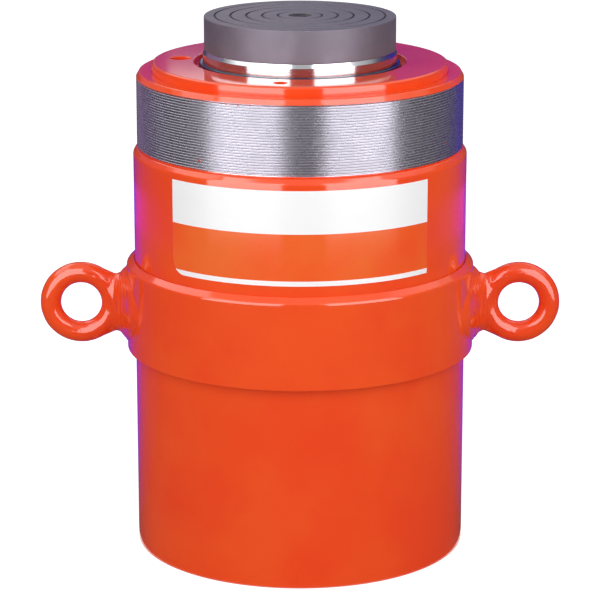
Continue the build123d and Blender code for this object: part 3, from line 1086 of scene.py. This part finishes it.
def weld_and_forge(piece, size, seed):
    """Raise the weld's beads, the parting ridge and the small lumps of the forging on an eye."""
    path = weld_path()
    mesh = piece.data
    weld_start = WELD_SECTIONS[0][0] + 1
    weld_end = BEAD_EDGES[-1]
    ridge_height = 0.5 * MM
    moves = []
    for vertex in mesh.vertices:
        point = vertex.co
        lumps = noise.noise(point * 55 + Vector((seed, 0, 0)))
        fine = noise.noise(point * 210 + Vector((0, 0, seed)))
        # The forging's skin is rougher in its lower half.
        rough = 0.03 + 0.05 * min(1.0, max(0.0, (size.eye_height - point.z) / (20 * MM)))
        move = 0.25 * MM * lumps + rough * MM * fine
        reach = point.x / MM
        if reach < weld_start:
            wander = 3.0 * noise.noise(point * 28 + Vector((0, seed, 3)))
            along = along_weld(reach, path) + wander
            ripple = 0.3 * noise.noise(Vector((along * 0.12, seed, point.z / MM * 0.12)))
            fade = min(1.0, (weld_start - reach) / 3)
            toe = min(1.0, max(0.25, (weld_end - along) / 22))
            move += size.bead_height * fade * toe * (bead_rise(along) - 0.45 + ripple)
        else:
            # The ridge is ground lower behind.
            side = 1.0 if point.y < 0 else 0.6
            move += ridge_height * side * neck_seam(point, size.eye_height)
        moves.append(vertex.normal * move)
    for vertex, move in zip(mesh.vertices, moves):
        vertex.co += move


def soften(piece, iterations):
    """Smooth a piece's whole skin, and turn its modifiers into its mesh."""
    change = piece.modifiers.new("soften", "SMOOTH")
    change.factor = 0.5
    change.iterations = iterations
    settle(piece)


class CYLINDER_OT_lifting_eyes(Operator):
    """Forge the two lifting eyes and weld them to the band"""

    bl_idname = "cylinder.lifting_eyes"
    bl_label = "Lifting eyes"

    def execute(self, context):
        size = context.scene.cylinder_sizes
        for side, facing, seed in (("right", 1, 1.7), ("left", -1, 8.3)):
            piece = piece_from(side + "_lifting_eye_welded", eye_shape(size))
            remesh = piece.modifiers.new("skin", "REMESH")
            remesh.mode = "VOXEL"
            remesh.voxel_size = 1.25 * MM
            soften(piece, 14)
            weld_and_forge(piece, size, seed)
            soften(piece, 3)
            inside_band = size.band_radius - 0.5 * MM
            carve(piece, [bar(inside_band, (0, 0, 0.1), (0, 0, 0.5), 256)])
            if facing < 0:
                piece.data.transform(Matrix.Scale(-1, 4, (1, 0, 0)))
                piece.data.flip_normals()
            smooth(piece, 60.0)
            nodes = [side + "_lifting_eye", side + "_eye_weld"]
            place_piece(piece, "barrel", nodes, ["orange_paint"])
        return {"FINISHED"}


class CYLINDER_OT_couplers(Operator):
    """Build the two quick couplers behind and their dust plugs"""

    bl_idname = "cylinder.couplers"
    bl_label = "Couplers"
    # How far a coupler's tip stands from its flat spot, and the radius of its mouth.
    tip = 44 * MM
    mouth = 9.5 * MM

    def execute(self, context):
        size = context.scene.cylinder_sizes
        for port in PORTS:
            lay = Matrix.Translation((0, size.flat_spot_reach, port_height(port))) @ LAID_BACK
            body = self.coupler_body(port)
            thread = screw_thread(
                port + "_coupler_thread",
                crest=15.1 * MM,
                root=14.1 * MM,
                wall=12.5 * MM,
                bottom=23 * MM,
                top=42 * MM,
                pitch=1.9 * MM,
                columns=SMALL_TURN,
            )
            plug = self.dust_plug(port)
            for piece in (body, thread, plug):
                piece.data.transform(lay)
            body_node = port + "_coupler_body"
            plug_node = port + "_dust_plug"
            place_piece(body, "barrel", [body_node], ["plated_steel"])
            place_piece(thread, "barrel", [body_node], ["plated_steel"])
            place_piece(plug, port + "_plug", [plug_node], ["dust_plug_plastic"])
        return {"FINISHED"}

    def coupler_body(self, port):
        """The hexagon, the neck and the tip of a coupler, standing up from its flat spot at height 0."""
        tip = self.tip
        mouth = self.mouth
        passage = 6.2 * MM
        piece = turned(port + "_coupler_hexagon", [
            (passage, -18 * MM),
            (7.3 * MM, -18 * MM),
            (8.3 * MM, -17 * MM),
            (8.3 * MM, 0),
            (15.2 * MM, 0),
            (17.5 * MM, 1.3 * MM),
            (17.5 * MM, 16.7 * MM),
            (15.2 * MM, 18 * MM),
            (13.4 * MM, 18 * MM, 0.5 * MM),
            (13.4 * MM, 42.5 * MM, 0.5 * MM),
            (13.2 * MM, tip, 0.5 * MM),
            (mouth + 1 * MM, tip, 0.2 * MM),
            (mouth, tip - 1 * MM),
            *groove(mouth, mouth + 1.9 * MM, 33 * MM, 30 * MM),
            (mouth, 26 * MM),
            (3.4 * MM, 26 * MM),
            (3.4 * MM, 20.8 * MM),
            (passage, 18 * MM),
        ], SMALL_TURN)
        across_flats = 30 * MM
        corner = across_flats / 2 / math.cos(math.radians(30))
        shape = bmesh.new()
        place = Matrix.Translation((0, 0, 9 * MM)) @ Matrix.Rotation(math.radians(30), 4, "Z")
        sizes = {"radius1": corner, "radius2": corner, "depth": 18 * MM}
        bmesh.ops.create_cone(shape, cap_ends=True, segments=6, matrix=place, **sizes)
        hexagon = piece_from("cutter", shape)
        upper = bar(16 * MM, (0, 0, 17.9 * MM), (0, 0, tip + 1 * MM))
        shank = bar(9 * MM, (0, 0, -19 * MM), (0, 0, 0.1 * MM))
        carve(hexagon, [upper, shank], "UNION")
        carve(piece, [hexagon], "INTERSECT")
        return piece

    def dust_plug(self, port):
        """The moulded plug that closes a coupler, with a grip round its rim."""
        tip = self.tip
        bore = self.mouth
        piece = turned(port + "_dust_plug_moulded", [
            (0, 33.5 * MM),
            (bore - 0.4 * MM, 33.5 * MM, 0.6 * MM),
            (bore - 0.4 * MM, 36 * MM),
            (bore - 0.05 * MM, 36.8 * MM),
            (bore - 0.4 * MM, 37.6 * MM),
            (bore - 0.4 * MM, tip + 0.3 * MM),
            (12.5 * MM, tip + 0.3 * MM, 0.5 * MM),
            (12.5 * MM, tip + 2.5 * MM, 0.8 * MM),
            (5 * MM, tip + 2.5 * MM, 1.0 * MM),
            (5 * MM, tip + 7.5 * MM, 0.6 * MM),
            (7 * MM, tip + 9 * MM, 0.4 * MM),
            (7 * MM, tip + 11.5 * MM, 1.0 * MM),
            (0, tip + 11.5 * MM),
        ], SMALL_TURN)
        scallops = []
        scallop_count = 24
        scallop_reach = 12.9 * MM
        for step in range(scallop_count):
            turn = math.tau * step / scallop_count
            x = scallop_reach * math.cos(turn)
            y = scallop_reach * math.sin(turn)
            scallops.append(bar(0.8 * MM, (x, y, tip - 1 * MM), (x, y, tip + 4 * MM), 12))
        carve(piece, scallops)
        return piece


class CYLINDER_OT_springs(Operator):
    """Wind the three valve springs"""

    bl_idname = "cylinder.springs"
    bl_label = "Springs"

    def execute(self, context):
        joints = {joint["name"]: joint for joint in frame["record"]["behaviour"]["joints"]}
        # Each spring: its node, its ball's joint, the axis it lies along, its coil's and its wire's radius in
        # millimetres, and its turns.
        for node, joint_name, along, coil, wire, turns in (
            ("relief_valve_spring", "relief_ball_lift", 2, 2.1, 0.6, 4),
            ("advance_coupler_spring", "advance_ball_push", 1, 3.6, 0.7, 5),
            ("retract_coupler_spring", "retract_ball_push", 1, 3.6, 0.7, 5),
        ):
            low, high = box_of[node]
            middle = (low + high) / 2
            foot = middle.copy()
            foot[along] = low[along]
            piece = self.wound(node + "_wound", coil * MM, wire * MM, high[along] - low[along], turns)
            lay = Matrix.Translation(foot)
            if along == 1:
                lay = lay @ LAID_BACK
            piece.data.transform(lay)
            place_piece(piece, "barrel", [node], [slot_of[node]])
            joint = joints[joint_name]
            fixed_end = joint["deforming_nodes"][0]["fixed_end_" + "xyz"[along] + "_m"]
            anchor = middle.copy()
            anchor[along] = fixed_end
            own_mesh(piece)
        return {"FINISHED"}

    def wound(self, name, coil, wire, free_length, turns):
        """A coil of round wire that stands up from height 0."""
        stops_a_turn = 24
        stops = turns * stops_a_turn
        across = 12
        climb = (free_length - 2 * wire) / stops
        rings = []
        for stop in range(stops + 1):
            turn = math.tau * stop / stops_a_turn
            outward = Vector((math.cos(turn), math.sin(turn), 0))
            centre = outward * coil + Vector((0, 0, wire + climb * stop))
            rings.append(hoop(centre, outward, Vector((0, 0, 1)), wire, across))
        shape = bmesh.new()
        loft(shape, rings)
        bmesh.ops.recalc_face_normals(shape, faces=shape.faces)
        piece = piece_from(name, shape)
        smooth(piece, 60.0)
        return piece


class CYLINDER_OT_label(Operator):
    """Lay the blank label on the front of the barrel"""

    bl_idname = "cylinder.label"
    bl_label = "Label"

    def execute(self, context):
        size = context.scene.cylinder_sizes
        columns = 160
        arc_half = size.label_half_angle * size.barrel_radius
        inner = size.barrel_radius + 0.02 * MM
        shape = bmesh.new()
        lines = []
        for column in range(columns + 1):
            across = arc_half * (2 * column / columns - 1)
            past = -across - (arc_half - size.label_corner)
            drop = min(max(past, 0.0), size.label_corner)
            lift = size.label_corner - math.sqrt(size.label_corner**2 - drop**2)
            floor = size.label_bottom + lift
            heights = [
                floor,
                max(floor, size.label_stripe_top),
                max(floor, size.label_band_bottom),
                size.label_top,
            ]
            turn = across / size.barrel_radius
            lines.append([shape.verts.new(from_front(turn, inner, height)) for height in heights])
        for first, second in zip(lines, lines[1:]):
            for row, white in enumerate((1, 0, 1)):
                face = shape.faces.new((first[row], second[row], second[row + 1], first[row + 1]))
                face.material_index = white
        bmesh.ops.remove_doubles(shape, verts=shape.verts, dist=SMALLEST)
        bmesh.ops.recalc_face_normals(shape, faces=shape.faces)
        piece = piece_from("label_blank", shape)
        thicken = piece.modifiers.new("film", "SOLIDIFY")
        thicken.thickness = size.label_thickness
        thicken.offset = 1.0
        place_piece(piece, "barrel", [], ["label_orange", "label_white"])
        settle(piece)
        smooth(piece)
        return {"FINISHED"}


class CYLINDER_OT_inner_pieces(Operator):
    """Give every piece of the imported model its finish"""

    bl_idname = "cylinder.inner_pieces"
    bl_label = "Inner pieces"

    def execute(self, context):
        for node, piece in frame["nodes"].items():
            finish = finish_for(slot_of[node])
            if not piece.material_slots:
                piece.data.materials.append(finish)
            for place in piece.material_slots:
                place.material = finish
        return {"FINISHED"}


def floor_finish(name, shade, strength):
    """A pale floor that adds light of its own where it is seen, also in a gloss or through glass."""
    finish = Finish(name)
    path = finish.node("ShaderNodeLightPath")
    kinds = ("Is Camera Ray", "Is Glossy Ray", "Is Transmission Ray")
    straight, gloss, through = [Value(finish, path.outputs[kind]) for kind in kinds]
    power = (straight + gloss + through) * strength
    diffuse = finish.node("ShaderNodeBsdfDiffuse", None, {"Color": shade}).outputs[0]
    light = finish.node("ShaderNodeEmission", None, {"Color": WHITE, "Strength": power}).outputs[0]
    return finish.done(finish.node("ShaderNodeAddShader", None, {0: diffuse, 1: light}).outputs[0])


def cloth(name, shade, strength=1.0):
    """A cloth or card that shows one even colour in a gloss."""
    finish = Finish(name)
    light = finish.node("ShaderNodeEmission", None, {"Color": shade, "Strength": strength})
    return finish.done(light.outputs[0])


# Each pair of cloths round the set, left and right: the two turns it runs between, how blue it is, and the
# colour of the floor cloth's outer part, which the wall above the band shows.
CLOTHS = (
    (0, 90, 0.0, (0.068, 0.060, 0.090, 1.0)),
    (90, 105, 0.0, (0.16, 0.05, 0.25, 1.0)),
    (105, 115, 0.15, (0.25, 0.05, 0.37, 1.0)),
    (115, 125, 0.3, (0.32, 0.045, 0.50, 1.0)),
    (125, 136, 0.55, (0.45, 0.035, 0.75, 1.0)),
    (136, 150, 1.0, (0.55, 0.03, 0.95, 1.0)),
    (150, 180, 1.0, (0.15, 0.04, 0.92, 1.0)),
)


class CYLINDER_OT_stage(Operator):
    """Set up the floor, the cloths round the set, the lamps and the camera"""

    bl_idname = "cylinder.stage"
    bl_label = "Stage"

    def execute(self, context):
        scene = context.scene
        stage = scene.cylinder_stage
        self.lay_floor(stage)
        self.hang_tent(stage)
        self.hang_cards(stage)
        self.place_lamps(stage)
        self.place_camera(scene, stage)
        world = bpy.data.worlds.new("plain_light")
        world.use_nodes = True
        background = world.node_tree.nodes["Background"]
        background.inputs["Color"].default_value = WHITE
        background.inputs["Strength"].default_value = stage.world_strength
        scene.world = world
        scene.view_settings.view_transform = "Standard"
        return {"FINISHED"}

    def lay_floor(self, stage):
        """A wide pale floor just under the base."""
        shape = bmesh.new()
        half = 30.0
        under = Matrix.Translation((0, 0, -0.3 * MM))
        bmesh.ops.create_grid(shape, x_segments=1, y_segments=1, size=half, matrix=under)
        floor = piece_from("floor", shape)
        floor.data.materials.append(floor_finish("stage_floor", stage.floor, stage.floor_glow))

    def hang(self, name, finish, first, last, near, far):
        """A cloth or card that only a gloss shows, from one turn round the set to another and between two
        (radius, height) edges."""
        degrees_a_step = 4
        steps = max(1, round((last - first) / degrees_a_step))
        shape = bmesh.new()
        edges = []
        for step in range(steps + 1):
            turn = math.radians(first + (last - first) * step / steps)
            edges.append([shape.verts.new(from_front(turn, *edge)) for edge in (near, far)])
        for before, after in zip(edges, edges[1:]):
            shape.faces.new((before[0], after[0], after[1], before[1]))
        hung = piece_from(name, shape)
        hung.data.materials.append(finish)
        hung.visible_camera = False
        hung.visible_diffuse = False
        hung.visible_shadow = False
        hung.visible_transmission = False

    def hang_tent(self, stage):
        """The cloths round the set: dark in front, blue and rose behind."""
        radius = stage.tent_radius
        level = 0.2 * MM
        foot = (box_of["barrel"][1].x + 4 * MM, level)
        hem = (1.75, level)
        corner = (radius, level)
        low = (radius, 0.2)
        high = (radius, 0.75)
        top = (radius, stage.tent_height)
        between = cloth("stage_middle_cloth", stage.dark_cloth)
        for first, last, blue, outer in CLOTHS:
            shade = [near + (far - near) * blue for near, far in zip(stage.dark_cloth, stage.blue_cloth)]
            around = cloth(f"stage_cloth_{first}", shade)
            parts = (
                ("below", cloth(f"stage_floor_cloth_{first}", shade, 1 + 0.8 * blue), foot, hem),
                ("outer", cloth(f"stage_outer_floor_cloth_{first}", outer), hem, corner),
                ("low", around, corner, low),
                ("middle", between, low, high),
                ("high", around, high, top),
            )
            for side, start, end in (("right", first, last), ("left", -last, -first)):
                for part, finish, near, far in parts:
                    self.hang(f"{side}_cloth_{first}_{part}", finish, start, end, near, far)

    def hang_cards(self, stage):
        """The two cards that stand in for the lamps in the gloss, and those at the sides and behind."""
        white = cloth("stage_white_card", WHITE, stage.card_glow)
        soft = cloth("stage_soft_card", WHITE, stage.side_glow)
        dim = cloth("stage_dim_card", WHITE, stage.side_glow * 0.5)
        pale = cloth("stage_pale_card", WHITE, stage.rear_glow)
        mauve = cloth("stage_mauve_card", stage.mauve_card)
        distance = stage.lamp_distance
        # Each card: the turns it runs between, and the (radius, height) of its lower and upper edge.
        for name, finish, first, last, lower, upper in (
            ("left_card", white, -62, -11.5, (distance, 0.1), (distance, 2.25)),
            ("right_card", white, 16.5, 65, (distance, 0.1), (distance, 2.25)),
            ("left_side_card", soft, -150, -66, (1.9, 1.5), (1.5, 2.7)),
            ("right_side_card", dim, 66, 150, (1.9, 1.7), (1.5, 2.7)),
            ("rear_card", pale, 180, 187.6, (1.9, 0.965), (1.9, 1.7)),
            ("mauve_card", mauve, -170, -108, (1.9, 0.75), (1.9, 1.8)),
        ):
            self.hang(name, finish, first, last, lower, upper)

    def lamp(self, name, turn, distance, height, width, tall, power):
        """A soft lamp at a turn from the front, facing the axis. Its power is for a square metre."""
        data = bpy.data.lights.new(name, "AREA")
        data.shape = "RECTANGLE"
        data.size = width
        data.size_y = tall
        data.energy = power * width * tall
        piece = bpy.data.objects.new(name, data)
        piece.location = from_front(math.radians(turn), distance, height)
        target = Vector((0, 0, 0.35))
        aim = target - piece.location
        piece.rotation_euler = aim.to_track_quat("-Z", "Y").to_euler()
        piece.visible_camera = False
        piece.visible_glossy = False
        bpy.context.scene.collection.objects.link(piece)

    def place_lamps(self, stage):
        """Two soft lamps in front and a weaker one behind."""
        front = stage.lamp_distance
        # Each lamp: its turn, distance and height, its width and upright size, and its share of the power.
        for name, turn, distance, height, width, tall, part in (
            ("left_lamp", -40, front, 1.15, 1.6, 2.0, 1.0),
            ("right_lamp", 42, front, 1.15, 1.6, 2.0, 1.0),
            ("rear_lamp", 180, 2.0, 1.0, 1.4, 1.4, 0.8),
        ):
            self.lamp(name, turn, distance, height, width, tall, stage.lamp_power * part)

    def place_camera(self, scene, stage):
        """The camera in front, looking a little down."""
        data = bpy.data.cameras.new("camera")
        data.lens = stage.camera_lens
        data.sensor_width = 36.0
        camera = bpy.data.objects.new("camera", data)
        camera.location = (0, -stage.camera_distance, stage.camera_height)
        camera.rotation_euler = (math.radians(90) - stage.camera_pitch, 0, 0)
        data.clip_end = 200.0
        scene.collection.objects.link(camera)
        scene.camera = camera


class CYLINDER_PT_pieces(Panel):
    """Lists the operators that build the cylinder, and its sizes and colours"""

    bl_idname = "CYLINDER_PT_pieces"
    bl_label = "Hydraulic cylinder"
    bl_space_type = "VIEW_3D"
    bl_region_type = "UI"
    bl_category = "Cylinder"

    def draw(self, context):
        column = self.layout.column(align=True)
        for operator in OPERATORS:
            column.operator(operator.bl_idname)
        for group_name in GROUPS:
            group = getattr(context.scene, group_name)
            settings = self.layout.column(align=True)
            for name in group.bl_rna.properties.keys():
                if name not in ("rna_type", "name"):
                    settings.prop(group, name)


OPERATORS = (
    CYLINDER_OT_stage,
    CYLINDER_OT_inner_pieces,
    CYLINDER_OT_barrel,
    CYLINDER_OT_collar_thread,
    CYLINDER_OT_gland_nut,
    CYLINDER_OT_wiper,
    CYLINDER_OT_rod,
    CYLINDER_OT_saddle,
    CYLINDER_OT_lifting_band,
    CYLINDER_OT_lifting_eyes,
    CYLINDER_OT_couplers,
    CYLINDER_OT_springs,
    CYLINDER_OT_label,
)
GROUPS = {
    "cylinder_sizes": CylinderSizes,
    "cylinder_colours": CylinderColours,
    "cylinder_stage": CylinderStage,
}


def register():
    """Make the groups, operators and panel known to Blender."""
    for group in GROUPS.values():
        bpy.utils.register_class(group)
    for operator in OPERATORS:
        bpy.utils.register_class(operator)
    bpy.utils.register_class(CYLINDER_PT_pieces)
    for name, group in GROUPS.items():
        setattr(bpy.types.Scene, name, PointerProperty(type=group))


def unregister():
    """Take them away again."""
    for name in GROUPS:
        delattr(bpy.types.Scene, name)
    bpy.utils.unregister_class(CYLINDER_PT_pieces)
    for operator in reversed(OPERATORS):
        bpy.utils.unregister_class(operator)
    for group in reversed(GROUPS.values()):
        bpy.utils.unregister_class(group)


def main():
    """Build the whole scene."""
    register()
    for operator in OPERATORS:
        family, name = operator.bl_idname.split(".")
        getattr(getattr(bpy.ops, family), name)()


if __name__ == "__main__":
    main()
